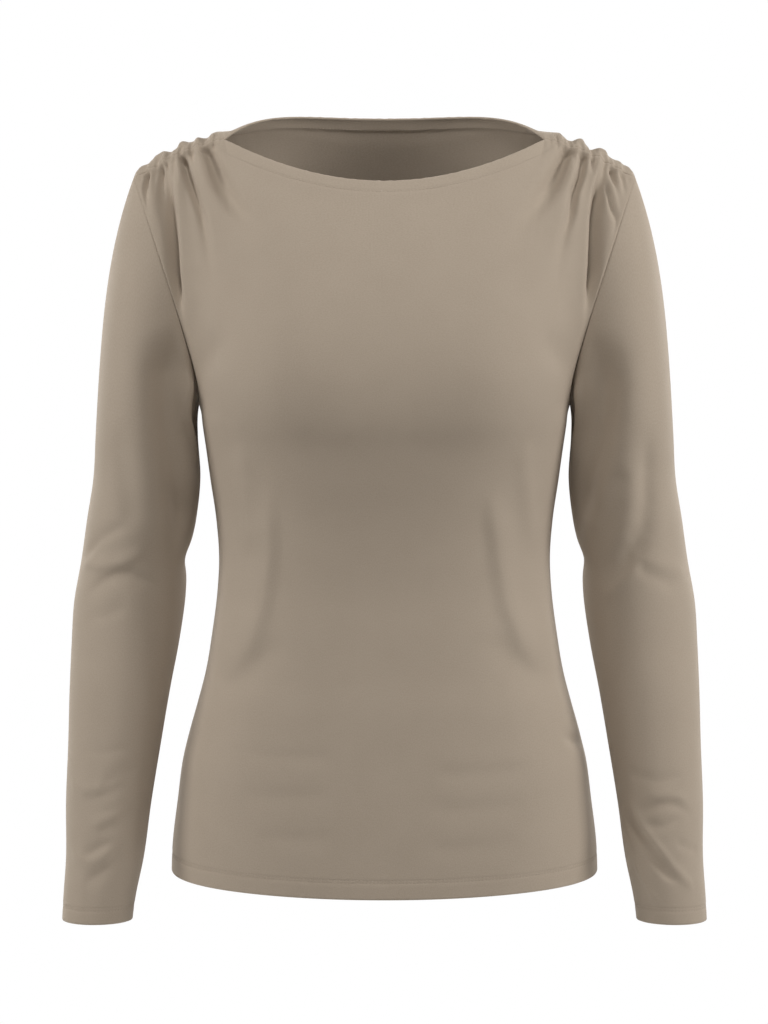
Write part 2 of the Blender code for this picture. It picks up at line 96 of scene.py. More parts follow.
# The cloth leaves its top edge in a direction of its own at the centre, the neck corner and the sleeve end,
# given as how far inwards, along Y and up. It arrives at the underarm from the side by end_side.
Neckline = namedtuple("Neckline", "y bow_y rise bow_z dip")
Leaving = namedtuple("Leaving", "inward y z")
Body = namedtuple("Body", "name forward neck leaving end_side hem_z swell")
FRONT = Body(
    name="front",
    forward=-1,
    neck=Neckline(-66.0, 2.2, -37.0, 2.0, 0.0),
    leaving=[Leaving(0, -80, -150), Leaving(8, -118, -110), Leaving(34, -135, -95)],
    end_side=225.0,
    hem_z=-592.0,
    swell=9.0,
)
BACK = Body(
    name="back",
    forward=1,
    neck=Neckline(64.0, 2.4, 25.0, 5.2, 1.8),
    leaving=[Leaving(0, 70, -105), Leaving(0, 145, 150), Leaving(24, 160, 178)],
    end_side=232.0,
    hem_z=-584.0,
    swell=0.0,
)
END_DOWN, END_DOWN_ARMHOLE = 190.0, 70.0
END_OUT_ARMHOLE = 34.0
ARMHOLE_POWER = 4  # how closely those at the armhole keep to it

# How a sleeve's cap leaves the armhole, which the seam between them needs too
CAP_OUT, CAP_OUT_SIDES, CAP_OUT_UNDERARM = 0.36, 0.18, 0.28
CAP_BOW, CAP_DOWN = 0.22, 0.92

NUDGE = 1e-4  # the small step over which a surface's slopes are taken


def cubic(t, start, leave, end, arrive):
    return (
        (2 * t**3 - 3 * t**2 + 1) * start
        + (t**3 - 2 * t**2 + t) * leave
        + (3 * t**2 - 2 * t**3) * end
        + (t**3 - t**2) * arrive
    )


def through(rows, column, z):
    """A smooth curve through one column of a table, read at heights z."""
    knots = np.array([row.z for row in rows][::-1], float)
    values = np.array([getattr(row, column) for row in rows][::-1], float)
    slopes = np.gradient(values, knots)
    inside = np.clip(z, knots[0], knots[-1])
    i = np.clip(np.searchsorted(knots, inside) - 1, 0, len(knots) - 2)
    step = knots[i + 1] - knots[i]
    t = (inside - knots[i]) / step
    return cubic(t, values[i], step * slopes[i], values[i + 1], step * slopes[i + 1])


def smooth(t):
    t = np.clip(t, 0, 1)
    return t * t * (3 - 2 * t)


def eased(share):
    full = 1 - CORNER_EASE * (1 - np.exp(-1 / CORNER_EASE))
    return (share - CORNER_EASE * (1 - np.exp(-share / CORNER_EASE))) / full


def unit(vectors):
    return vectors / np.linalg.norm(vectors, axis=-1, keepdims=True)


def normals(surface, u, v):
    across = surface(u + NUDGE, v) - surface(u - NUDGE, v)
    down = surface(u, v + NUDGE) - surface(u, v - NUDGE)
    return unit(np.cross(down, across))


def mirrored(vectors, side):
    return vectors * np.stack([side, np.ones_like(side), np.ones_like(side)], axis=-1)


def torso(angle, z):
    half, front, back, square = (
        through(TORSO, column, z) for column in ("half_width", "front", "back", "squareness")
    )
    c, s = np.cos(angle), np.sin(angle)
    depth = np.where(s < 0, front, back)
    radius = ((np.abs(c) / half) ** square + (np.abs(s) / depth) ** square) ** (-1 / square)
    return np.stack([radius * c, UNDERARM_Y + radius * s, z], axis=-1)


def edge_shares(u):
    in_neck = 1 - eased(np.clip(1 - np.abs(u) / NECK_SHARE, 0, 1))
    in_seam = np.maximum(np.abs(u) - NECK_SHARE, 0) / (1 - NECK_SHARE)
    return in_neck, in_seam


def top_edge(body, u):
    """The neckline between the neck corners, and the shoulder seams outside them."""
    neck = body.neck
    inner, along = edge_shares(u)
    neck_y = SHOULDER_SEAM_Y + (neck.y - SHOULDER_SEAM_Y) * (1 - inner**neck.bow_y) ** NECK_FULLNESS
    neck_z = neck.rise * (1 - inner**neck.bow_z) - neck.dip * (1 - inner**2) ** 3
    seam = np.abs(u) >= NECK_SHARE
    x = np.where(seam, NECK_HALF + (SHOULDER_HALF - NECK_HALF) * along, NECK_HALF * inner)
    y = np.where(seam, SHOULDER_SEAM_Y, neck_y)
    z = np.where(seam, -SHOULDER_DROP * along**SHOULDER_BEND, neck_z)
    return np.stack([np.sign(u) * x, y, z], axis=-1)


def top_tangent(body, u):
    centre, corner, sleeve_end = (np.array([-s.inward, s.y, s.z], float) for s in body.leaving)
    inner, along = (share[..., None] for share in edge_shares(u))
    leave = centre + (corner - centre) * inner**2 + (sleeve_end - corner) * smooth(along)
    return mirrored(leave, np.sign(u))


CORNER_SOFTENING = 0.11  # share of the half width over which the corner is softened below the edge
SOFT_BY = 0.16  # how far down the panel it is fully soft
END_KEPT = 0.25  # share of the half width next to the armhole with less softening
SOFTENING = np.linspace(-1.6, 1.6, 9)


def softened(curve, body, u):
    """An edge curve averaged over its neighbourhood, less towards the armhole, where it keeps its end."""
    reach = CORNER_SOFTENING * np.clip((1 - np.abs(u)) / END_KEPT, 0, 1)
    weights = np.exp(-(SOFTENING**2))
    total = sum(w * curve(body, u + step * reach) for step, w in zip(SOFTENING, weights))
    return total / weights.sum()


def body_surface(body):
    """u runs across from -1 to 1, and v is 0 at the top edge, 1 at the underarm and 2 at the hem."""

    def lower(u, share):
        angle = body.forward * np.pi / 2 * (1 - u)
        top = UNDERARM_Z - UNDERARM_DIP * (1 - np.abs(u) ** UNDERARM_BOW)
        hem = HEM_SIDE_Z + (body.hem_z - HEM_SIDE_Z) * (1 - u**2)
        return torso(angle, top + (hem - top) * share)

    def surface(u, v):
        u, v = np.broadcast_arrays(np.asarray(u, float), np.asarray(v, float))
        row = lower(u, np.zeros_like(u))
        falling = unit(lower(u, np.full_like(u, NUDGE)) - row)
        outward = unit(lower(u + NUDGE, np.zeros_like(u)) - row) * np.sign(u)[..., None]
        edge = (np.abs(u) ** ARMHOLE_POWER)[..., None]
        arrive = falling * (END_DOWN + (END_DOWN_ARMHOLE - END_DOWN) * edge)
        arrive += outward * body.end_side * edge
        arrive[..., 0] += np.sign(u) * END_OUT_ARMHOLE * edge[..., 0]
        t = np.clip(v, None, 1)[..., None]
        sharp, soft = top_edge(body, u), softened(top_edge, body, u)
        start = sharp + (soft - sharp) * smooth(t / SOFT_BY)
        upper = cubic(t, start, softened(top_tangent, body, u), row, arrive)
        return np.where((v < 1)[..., None], upper, lower(u, np.maximum(v - 1, 0)))

    return surface


def armhole(side, angle):
    """Points at angles round an armhole: down the front's edge to 180 degrees, then up the back's."""
    turns = np.mod(np.asarray(angle, float), 2 * np.pi) / np.pi
    front = body_surface(FRONT)(np.full_like(turns, side), np.clip(turns, 0, 1))
    back = body_surface(BACK)(np.full_like(turns, side), np.clip(2 - turns, 0, 1))
    return np.where((turns <= 1)[..., None], front, back)


def cap_leaving(side, angle):
    out = CAP_OUT * np.cos(angle / 2) ** 2 + CAP_OUT_UNDERARM * np.sin(angle / 2) ** 2
    out += CAP_OUT_SIDES * np.sin(angle) ** 2
    return np.stack([side * out, -CAP_BOW * np.sin(angle), np.full_like(angle, -CAP_DOWN)], axis=-1)


# The armhole seam is pressed towards neither piece over the shoulder, so both turn in side by side there.
# Lower down, where body and sleeve lie face to face, each turns in its own way.
BESIDE_ARMHOLE = 0.985
SHARED_BELOW, OWN_OVER = 0.4, 0.35
ANGLE_NUDGE = 1e-3


def armhole_facing(side, angle, own):
    turns = np.mod(angle, 2 * np.pi) / np.pi
    height = 1 - np.abs(turns - 1)
    beside = np.full_like(turns, BESIDE_ARMHOLE)
    front = normals(body_surface(FRONT), beside, height) * (turns <= 1)[..., None]
    back = -normals(body_surface(BACK), beside, height) * ((turns >= 1) | (turns == 0))[..., None]
    round_it = armhole(1, angle + ANGLE_NUDGE) - armhole(1, angle - ANGLE_NUDGE)
    sleeve = unit(np.cross(round_it, cap_leaving(1, angle)))
    shared = mirrored(unit(unit(front + back) + sleeve), np.full_like(turns, side))
    return unit(shared + (own - shared) * smooth((height - SHARED_BELOW) / OWN_OVER)[..., None])


def shoulder_facing(u):
    along = np.clip((np.abs(u) - NECK_SHARE) / (1 - NECK_SHARE), 0, 1)[..., None]
    sleeve_end = armhole_facing(1, np.zeros(1), np.zeros(3))
    turned = SHOULDER_SEAM_FACING + (sleeve_end - SHOULDER_SEAM_FACING) * along**2
    return mirrored(unit(turned), np.sign(u))


# The gathers: each crease crosses the shoulder seam and runs down front and back. It has its place along the
# seam (0 at the neck and 1 at the sleeve), its depth and its width. Then come how far it reaches and how far
# it drifts inwards, on the front and on the back.
GATHERS = {
    -1: [
        (0.23, 3.6, 4.2, 112, 42, 60, 2), (0.38, 3.4, 3.3, 52, 9, 76, 7),
        (0.50, 4.2, 3.4, 122, 24, 20, 2), (0.61, 3.4, 3.2, 50, 4, 104, 10),
        (0.76, 4.4, 4.0, 142, 16, 14, 1), (0.89, 3.4, 3.2, 66, 2, 72, 4),
    ],
    1: [
        (0.29, 3.8, 4.2, 108, 42, 80, 2), (0.42, 2.8, 3.2, 44, 7, 22, 3),
        (0.54, 4.4, 3.6, 122, 22, 102, 8), (0.68, 4.2, 3.8, 134, 13, 14, 1),
        (0.79, 3.0, 3.2, 60, 4, 70, 4), (0.90, 3.8, 3.2, 80, 2, 58, 0),
    ],
}
GATHER_SPREAD = 0.028  # how much wider it gets with each millimetre
LEAN_BEND = 1.2
LIP, LIP_FALL = 1.1, 0.8  # the lips that it throws up on both sides
SEAM_HOLD, SEAM_RELEASE = 0.55, 8.0  # the seam holds back this share of it, up to so far away
SEAM_TURN = 12.0  # the cloth turns into the seam over this

# Between the large gathers the thread draws the cloth into small puckers, uneven in depth and length. Each
# has its place along the seam, its depth, its width and how far it reaches.
PUCKERS = {
    -1: [
        (0.05, 0.8, 1.5, 10), (0.12, 1.4, 1.6, 20), (0.18, 1.0, 1.3, 13), (0.29, 1.6, 1.5, 25),
        (0.33, 1.3, 1.3, 16), (0.435, 1.9, 1.5, 30), (0.47, 1.1, 1.2, 14), (0.555, 2.1, 1.5, 34),
        (0.655, 1.9, 1.6, 28), (0.70, 1.4, 1.3, 18), (0.82, 1.9, 1.5, 30), (0.855, 1.3, 1.2, 15),
        (0.94, 1.6, 1.4, 23), (0.975, 1.0, 1.2, 12),
    ],
    1: [
        (0.07, 1.0, 1.5, 13), (0.15, 1.3, 1.5, 17), (0.22, 1.4, 1.4, 23), (0.35, 1.8, 1.5, 28),
        (0.385, 1.1, 1.2, 14), (0.475, 1.9, 1.5, 32), (0.595, 1.8, 1.4, 21), (0.63, 1.3, 1.3, 15),
        (0.735, 2.1, 1.5, 34), (0.84, 1.8, 1.4, 25), (0.87, 1.1, 1.2, 13), (0.945, 1.6, 1.3, 22),
        (0.98, 0.8, 1.2, 10),
    ],
}
PUCKER_SPREAD, PUCKER_LEAN = 0.05, 0.06


def drawn_in(across, run, at, deep, width, reach, lean, spread):
    """One crease from the shoulder seam, with a lip on both sides."""
    middle = NECK_HALF + (SHOULDER_HALF - NECK_HALF) * at - lean
    off = (across - middle) / (width * (1 + spread * run))
    return deep * (1 - smooth(run / reach)) * (1 - LIP * off**2) * np.exp(-LIP_FALL * off**2)


def gathered(body, points, run):
    """How far gathers and puckers push the cloth in, run millimetres below or behind the shoulder seam."""
    depth = np.zeros(points.shape[:-1])
    for side in (-1, 1):
        across = points[..., 0] * side
        for at, deep, width, *runs in GATHERS[side]:
            reach, lean = runs[:2] if body is FRONT else runs[2:]
            lean = lean * np.clip(run / reach, 0, 1) ** LEAN_BEND
            depth += drawn_in(across, run, at, deep, width, reach, lean, GATHER_SPREAD)
        for at, deep, width, reach in PUCKERS[side]:
            depth += drawn_in(across, run, at, deep, width, reach, PUCKER_LEAN * run, PUCKER_SPREAD)
    return depth * (SEAM_HOLD + (1 - SEAM_HOLD) * smooth(run / SEAM_RELEASE))


# A soft fold is a trough from one end to the other, or a ridge where its depth is below 0. Its numbers are
# the place of both ends, across and up, its width and its depth.
FOLD_ENDS = 8.0  # how soon it dies out at its ends
FRONT_FOLDS = [(side * 118, -150, side * 144, -192, 11, 1.8) for side in (-1, 1)]
BACK_FOLDS = [
    (-84, -290, -106, -372, 14, 2.8),
    (80, -288, 104, -366, 14, 2.8),
    (-96, -338, 96, -346, 13, 2.2),
    (-80, -380, 84, -384, 13, 1.8),
]


def folded(folds, across, z):
    depth = np.zeros(np.shape(z))
    for start, start_z, end, end_z, width, deep in folds:
        line = np.array([end - start, end_z - start_z])
        length = np.hypot(*line)
        along = ((across - start) * line[0] + (z - start_z) * line[1]) / length**2
        off = ((across - start) * line[1] - (z - start_z) * line[0]) / length / width
        depth += deep * np.exp(-FOLD_ENDS * (along - 0.5) ** 2 - off**2)
    return depth


# A crease is finer and may bend: it follows a line of points, across and up. Next come how wide its left and
# its right wall are for someone who walks along the line, and its depth, which makes a ridge below 0.
FRONT_GATHERS = [
    ([(-146, 14), (-139, -10), (-134, -26), (-128, -39), (-117, -56), (-106, -68), (-93, -86),
      (-78, -112)], 5.6, 4.6, 6.6),
    ([(-155, 12), (-153, -12), (-152, -36)], 1.6, 1.6, 3.6),
    ([(-164, 14), (-161, -12), (-158, -24), (-151, -42), (-145, -60), (-141, -77), (-137, -104),
      (-132, -145)], 2.8, 2.2, 9.5),
    ([(-169, 6), (-168, -22), (-166, -56)], 1.3, 1.3, 3),
    ([(-174, 4), (-174, -20), (-174, -48)], 1.3, 1.5, 3.8),
    ([(-180, 24), (-178, -16), (-178, -37), (-174, -76)], 1.5, 1.5, 9),
    ([(-184, 4), (-184, -24), (-183, -50)], 1.2, 1.2, 3.6),
    ([(-189, 14), (-189, -26), (-190, -42), (-187, -90)], 1.5, 1.5, 8),
    ([(-194, 2), (-195, -30), (-196, -52)], 1.2, 1.2, 3.2),
    ([(-158, 6), (-156, -14), (-154, -34)], 1.2, 1.2, 2.4),
    ([(-148, 8), (-145, -12), (-141, -28)], 1.3, 1.3, 2.4),
    ([(149, 14), (145, -9), (140, -22), (133, -36), (124, -50), (112, -66), (98, -84),
      (82, -110)], 4.6, 5.6, 6.6),
    ([(152, 10), (151, -11), (149, -30)], 1.3, 1.5, 3),
    ([(163, 12), (159, -15), (156, -28), (150, -44), (147, -61), (142, -77), (136, -104),
      (130, -148)], 2.2, 2.9, 9.5),
    ([(157, 6), (155, -14), (152, -36)], 1.2, 1.2, 2.6),
    ([(168, 4), (167, -18), (166, -40)], 1.3, 1.3, 3),
    ([(180, 16), (182, -24), (184, -37), (188, -70)], 1.5, 1.5, 8.4),
    ([(187, 6), (189, -28), (191, -54)], 1.3, 1.3, 4.4),
    ([(193, 2), (195, -32), (196, -50)], 1.2, 1.2, 2.4),
    ([(177, -30), (180, -56), (183, -67), (181, -96)], 1.9, 1.4, 4.6),
]
FRONT_CREASES = [
    ([(-174, -14), (-171, -38), (-168, -62), (-166, -84), (-165, -106), (-163, -126),
      (-160, -152)], 3.2, 5.6, 12.5),
    ([(174, -13), (171, -32), (168, -47), (166, -62), (165, -82), (164, -104), (162, -124),
      (158, -150)], 5.6, 3.2, 12.5),
    ([(-113, -236), (-110, -262), (-105, -303), (-103, -334)], 7, 7, -1.6),
    ([(-93, -272), (-90, -300), (-89, -326), (-94, -367), (-105, -399), (-130, -426)], 7, 12, -3.2),
    ([(-132, -436), (-118, -429), (-105, -420), (-87, -402), (-78, -384)], 8, 13, 1.5),
    ([(111, -236), (108, -258), (113, -294), (115, -330)], 7, 7, -1.6),
    ([(84, -272), (85, -300), (88, -326), (95, -367), (108, -399), (131, -426)], 12, 7, -3.2),
    ([(80, -384), (88, -398), (99, -408), (113, -421), (133, -436)], 8, 13, 1.4),
    ([(-120, -478), (-100, -482), (-55, -483), (-34, -480)], 5, 8, 0.8),
    ([(-116, -512), (-96, -514), (-60, -512), (-40, -514)], 5, 8, 0.7),
    ([(-108, -544), (-86, -546), (-52, -545), (-36, -542)], 5, 8, 0.7),
    ([(34, -492), (54, -495), (100, -494), (122, -489)], 5, 8, 0.8),
    ([(30, -520), (50, -523), (92, -522), (112, -518)], 5, 8, 0.7),
    ([(28, -550), (50, -553), (90, -551), (108, -548)], 5, 8, 0.6),
    ([(136, -470), (150, -477), (162, -484), (174, -489)], 5, 3, 2.2),
]
BACK_CREASES = [
    ([(-92, -300), (-40, -314), (20, -312), (88, -296)], 14, 9, 2),
    ([(-100, -352), (-30, -362), (50, -358), (108, -344)], 12, 8, 2.2),
    ([(-120, -398), (-96, -410), (-40, -414)], 10, 6, 1.6),
    ([(44, -408), (92, -404), (122, -392)], 10, 6, 1.6),
    ([(-142, -140), (-128, -190), (-112, -236)], 9, 7, 2),
    ([(144, -136), (130, -184), (112, -232)], 7, 9, 2),
]


def creased(creases, across, z, spread=0.0, fading=(3.5, 3.5)):
    """Creases may spread, getting wider along their lines. They fade in and out at the ends."""
    depth = np.zeros(np.shape(z))
    for line, left, right, deep in creases:
        line = np.array(line, float)
        nearest = np.full(np.shape(z), np.inf)
        off, along = np.zeros_like(nearest), np.zeros_like(nearest)
        for k, (a, b) in enumerate(zip(line[:-1], line[1:])):
            run = b - a
            t = np.clip(((across - a[0]) * run[0] + (z - a[1]) * run[1]) / (run @ run), 0, 1)
            dx, dz = across - a[0] - t * run[0], z - a[1] - t * run[1]
            away = np.hypot(dx, dz)
            closer = away < nearest
            nearest = np.where(closer, away, nearest)
            off = np.where(closer, away * np.sign(dz * run[0] - dx * run[1]), off)
            along = np.where(closer, (k + t) / (len(line) - 1), along)
        off = off / (np.where(off > 0, left, right) * (1 + spread * along))
        fade = smooth(fading[0] * along) * smooth(fading[1] * (1 - along))
        depth += deep * fade * np.exp(-(off**2))
    return depth


# The soft fullness over the bust: its middle, how far it spreads, and where it begins below the top edge
SWELL_X, SWELL_Z = 82.0, -184.0
SWELL_WIDE, SWELL_ABOVE, SWELL_BELOW = 48.0, 70.0, 50.0
SWELL_CLEAR = 60.0


def swelling(points):
    z = points[..., 2] - SWELL_Z
    tall = np.where(z > 0, SWELL_ABOVE, SWELL_BELOW)
    wide = [(points[..., 0] - x) / SWELL_WIDE for x in (-SWELL_X, SWELL_X)]
    return sum(np.exp(-(x**2) - (z / tall) ** 2) for x in wide)


# A seam draws the cloth into a fine ditch, a row of stitches into a furrow, and a turned-in edge is rounded
DITCH_DEPTH, DITCH_WIDTH = 0.6, 0.9
DITCH_FADE, DITCH_LEFT = 2.0, 0.3  # it fades this close to a hem, down to this
FURROW_DEPTH, FURROW_WIDTH = 0.32, 0.7


def distance_to(line, points):
    """Millimetres from each point of a grid to the nearest point of a line."""
    flat = points.reshape(-1, 3)
    nearest = np.full(len(flat), np.inf)
    for p in line:
        nearest = np.minimum(nearest, ((flat - p) ** 2).sum(axis=1))
    return np.sqrt(nearest).reshape(points.shape[:-1])


def rounded_edge(distance, thickness):
    """How far a skin falls back near an edge that is turned in."""
    half = thickness / 2
    return half - np.sqrt(np.maximum(half**2 - np.clip(half - distance, 0, half) ** 2, 0))


def ditch(from_seam):
    return DITCH_DEPTH * np.exp(-((from_seam / DITCH_WIDTH) ** 2))


def furrows(distance, rows):
    return FURROW_DEPTH * sum(np.exp(-(((distance - row) / FURROW_WIDTH) ** 2)) for row in rows)


def turned_in(points, facing, depth, edges):
    """The outer skin and thickness of cloth whose edges are turned in and sewn down. For each edge come the
    distance of every point from it, how deep it is turned in, and its rows of stitches."""
    furrow = sum(furrows(away, rows) for away, _, rows in edges)
    turned = sum(smooth((deep - away) / TURNED_STEP) for away, deep, _ in edges)
    thickness = JERSEY + (TURNED_IN - JERSEY) * np.clip(turned, 0, 1)
    fall = rounded_edge(np.minimum.reduce([away for away, _, _ in edges]), thickness)
    return points - facing * (depth + furrow + fall)[..., None], thickness - 2 * fall - furrow


def flat_cut(points, across, column):
    """Where the points lie on the flat piece, with lengths taken down one column of them."""
    steps = np.linalg.norm(np.diff(points[:, column], axis=0), axis=-1)
    down = np.concatenate([[0], np.cumsum(steps)])
    return np.stack([across, -down[:, None] * np.ones_like(across)], axis=-1)


def stitch_lines(cloth, distance, rows):
    """Lines of places and facings on both faces of a grid of cloth, at distances from its edge."""
    lines = []
    for at in rows:
        inside = distance < at
        crosses = inside[:-1] != inside[1:]
        columns = np.flatnonzero(crosses.any(axis=0))
        row = crosses[:, columns].argmax(axis=0)
        before, after = distance[row, columns], distance[row + 1, columns]
        share = ((at - before) / (after - before))[:, None]
        place, out, thick = (
            values[row, columns] * (1 - share) + values[row + 1, columns] * share
            for values in (cloth.outer, cloth.facing, cloth.thickness[..., None])
        )
        lines += [(place, unit(out)), (place - out * thick, -unit(out))]
    return lines


# The grid of a front or back, whose columns lie closer beside the seams, and its rows at top edge and hem
SHOULDER_COLUMNS, NECK_COLUMNS = 84, 70
SEAM_COLUMNS = (0.9955, 0.9985, 1.0)
UPPER_ROWS, LOWER_ROWS = 80, 95
ROWS_CLOSER_UP = 1.5
ABOVE_HEM_ROWS = 22.0
HEM_ROWS = (19, 18.2, 17.2, 16.3, 15.5, 14.9, 14.1, 13.5, 12.9, 12.0, 9.5, 6.8, 4.5, 3.0, 1.8, 0.9, 0.3, 0.0)
ON_EDGE = 1e-6

# Shares of the half width next to the sides where the cloth turns into the armhole seam, and where folds and
# gathers die out
ARMHOLE_TURN = 0.05
FOLD_CALM, GATHER_CALM = 0.10, 0.035
GATHERS_WIDEN, GATHERS_FADE, GATHERS_CLEAR = 1.0, (6.0, 1.3), 6.0

NECK_REACH = 0.25  # no cloth further down than this is near the neckline
NECK_POINTS = 321
FAR = 999.0
HALF_SHOULDERS, HALF_CHEST = 120.0, 190.0  # rough half widths of a panel
FLAT_HALF, FLAT_COLUMN = 235.0, 80  # half the flat panel, and the column that gives its length

Cloth = namedtuple("Cloth", "outer facing thickness cut")


def calm_beside(wide, share):
    return 1 - smooth((np.abs(wide) - 1 + share) / share)


def body_cloth(body, folds, creases):
    """The cloth of the front or back, and its lines of stitches."""
    shoulder = np.linspace(NECK_SHARE, 1, SHOULDER_COLUMNS + 1)[1:]
    shoulder = np.concatenate([shoulder[:-1], SEAM_COLUMNS])
    neck = np.linspace(-NECK_SHARE, NECK_SHARE, NECK_COLUMNS + 1)
    u = np.concatenate([-shoulder[::-1], neck, shoulder])[None, :]
    length = UNDERARM_Z - HEM_SIDE_Z
    upper_rows = (np.arange(UPPER_ROWS + 1) / UPPER_ROWS) ** ROWS_CLOSER_UP
    lower_rows = np.linspace(1, 2 - ABOVE_HEM_ROWS / length, LOWER_ROWS + 1)[1:]
    v = np.concatenate([upper_rows, lower_rows, 2 - np.array(HEM_ROWS) / length])[:, None]
    surface = body_surface(body)
    points = surface(u, v)
    facing = -body.forward * normals(surface, u, v)
    upper = np.broadcast_to(v <= 1, points.shape[:-1])
    wide = np.broadcast_to(u, points.shape[:-1])

    run = np.linalg.norm(points - top_edge(body, wide), axis=-1)
    in_seam = np.where(wide < 0, -1, 1) * np.maximum(np.abs(wide), NECK_SHARE)
    from_shoulder = np.linalg.norm(points - top_edge(body, in_seam), axis=-1)
    near = (1 - smooth(from_shoulder / SEAM_TURN)) * upper
    facing = unit(facing + (shoulder_facing(in_seam) - facing) * near[..., None])
    angle = np.pi * np.clip(v[:, 0] if body is FRONT else 2 - v[:, 0], 0, 2)
    for end, side in ((0, -1), (-1, 1)):
        edge = armhole_facing(side, angle, facing[:, end])
        turning = smooth(1 - (1 - side * wide) / ARMHOLE_TURN) * upper
        facing = unit(facing + (edge[:, None] - facing) * turning[..., None])

    x, z = points[..., 0], points[..., 2]
    depth = gathered(body, points, run) * upper
    depth += folded(folds, x, z) + creased(creases, x, z)
    depth -= body.swell * swelling(points) * np.where(upper, smooth(run / SWELL_CLEAR), 1)
    depth *= np.where((run < ON_EDGE) | (from_shoulder < ON_EDGE), 1, calm_beside(wide, FOLD_CALM))
    if body is FRONT:
        fine = creased(FRONT_GATHERS, x, z, spread=GATHERS_WIDEN, fading=GATHERS_FADE)
        depth += fine * calm_beside(wide, GATHER_CALM) * smooth(run / GATHERS_CLEAR) * upper

    neckline = top_edge(body, np.linspace(-NECK_SHARE, NECK_SHARE, NECK_POINTS))
    from_neck = np.full(points.shape[:-1], FAR)
    close = (v[:, 0] < NECK_REACH).sum()
    from_neck[:close] = distance_to(neckline, points[:close])
    from_hem = (2 - v) * length * np.ones_like(wide)
    hem_or_neck = np.minimum(from_neck, from_hem)
    half = np.where(upper, HALF_SHOULDERS + (HALF_CHEST - HALF_SHOULDERS) * v, HALF_CHEST)
    from_side = (1 - np.abs(wide)) * half
    from_seam = np.where(upper, np.minimum(from_shoulder, from_side), from_side)
    from_seam = np.where(np.abs(wide) < NECK_SHARE, from_shoulder, from_seam)
    depth += ditch(from_seam) * smooth(hem_or_neck / DITCH_FADE + DITCH_LEFT)
    edges = [(from_neck, NECK_TURNED, NECK_STITCHES), (from_hem, HEM_TURNED, HEM_STITCHES)]
    points, thickness = turned_in(points, facing, depth, edges)
    sewn = (np.abs(wide) >= 1) | ((np.abs(wide) > NECK_SHARE) & (v <= 0))
    thickness = np.where(sewn & (hem_or_neck > ALLOWANCE_STOPS), SEAM_ALLOWANCE, thickness)

    ends = np.zeros_like(points)
    ends[:, 0, 0] = SEWN_APART * (v[:, 0] <= 1)
    ends[:, -1, 0] = -SEWN_APART * (v[:, 0] <= 1)
    ends[:, [0, -1], 1] = body.forward * SEWN_APART * (v >= 1)
    ends[0, :, 1] += body.forward * SEWN_APART * (np.abs(u[0]) >= NECK_SHARE)
    points = points + ends
    cut = flat_cut(points, wide * FLAT_HALF, FLAT_COLUMN)
    cloth = Cloth(points, facing, np.maximum(thickness, THINNEST), cut)
    lines = stitch_lines(cloth, from_neck, NECK_STITCHES) + stitch_lines(cloth, from_hem, HEM_STITCHES)
    return cloth, lines


def placed(name, data):
    thing = bpy.data.objects.new(name, data)
    bpy.context.scene.collection.objects.link(thing)
    return thing


def sewn_piece(name, cloth, closed=False):
    """A thin closed shell of jersey from its grid. Its UV map is the flat cut, in metres."""
    outer, facing, thickness, cut = cloth
    rows, columns = outer.shape[:2]
    inner = outer - facing * thickness[..., None]
    around = columns + 1 if closed else columns
    grid = np.arange(rows)[:, None] * columns + np.arange(around)[None, :] % columns
    spread = np.arange(rows * around).reshape(rows, around)

    def between(a, b, c, d):
        return np.stack([a, b, c, d], axis=-1).reshape(-1, 4)

    outside = between(grid[:-1, :-1], grid[:-1, 1:], grid[1:, 1:], grid[1:, :-1])
    outside_cut = between(spread[:-1, :-1], spread[:-1, 1:], spread[1:, 1:], spread[1:, :-1])
    count = rows * columns
    faces = [outside, outside[:, ::-1] + count]
    cuts = [outside_cut, outside_cut[:, ::-1]]
    rims = [(grid[0], spread[0], True), (grid[-1], spread[-1], False)]
    if not closed:
        rims += [(grid[:, 0], spread[:, 0], False), (grid[:, -1], spread[:, -1], True)]
    for rim, rim_cut, forwards in rims:
        a, b = (rim[1:], rim[:-1]) if forwards else (rim[:-1], rim[1:])
        c, d = (rim_cut[1:], rim_cut[:-1]) if forwards else (rim_cut[:-1], rim_cut[1:])
        faces.append(between(a, b, b + count, a + count))
        cuts.append(between(c, d, d, c))
    faces, cuts = np.concatenate(faces), np.concatenate(cuts)
    places = np.concatenate([outer.reshape(-1, 3), inner.reshape(-1, 3)])
    middle = faces[len(outside) // 2]
    a, b, _, d = places[middle]
    if np.cross(b - a, d - a) @ facing.reshape(-1, 3)[middle[0]] < 0:
        faces, cuts = faces[:, ::-1], cuts[:, ::-1]
    mesh = bpy.data.meshes.new(name)
    mesh.from_pydata(places * MM, [], faces)
    flat = mesh.uv_layers.new(name="cut")
    if closed:
        once_round = cut[:, :1] + [[[360 * ROUND, 0]]]
        cut = np.concatenate([cut, once_round], axis=1)
    flat.data.foreach_set("uv", (cut.reshape(-1, 2)[cuts.ravel()] * MM).astype(np.float32).ravel())
    mesh.update()
    mesh.shade_smooth()
    mesh.materials.append(jersey)
    return placed(name, mesh)


# The jersey: fine V-shaped loops in columns down the cloth, a little heathered, with a soft dull sheen
TAUPE = (0.402, 0.333, 0.262, 1.0)
TAUPE_DARK = (0.368, 0.303, 0.236, 1.0)
WALES_PER_METRE, COURSES_PER_METRE = 1250.0, 1500.0
WALE_FURROW, WALE_SHARPNESS = 0.8, 3.0
LOOP_HEIGHT, YARN_HEIGHT = 0.12, 0.35
CLOUDY_SHARE, HEATHER_SHARE = 0.2, 0.8


def fed(made, inputs):
    """A node with its inputs set, or linked to other nodes' outputs."""
    for key, value in inputs.items():
        if isinstance(value, bpy.types.NodeSocket):
            made.id_data.links.new(value, made.inputs[key])
        else:
            made.inputs[key].default_value = value
    return made


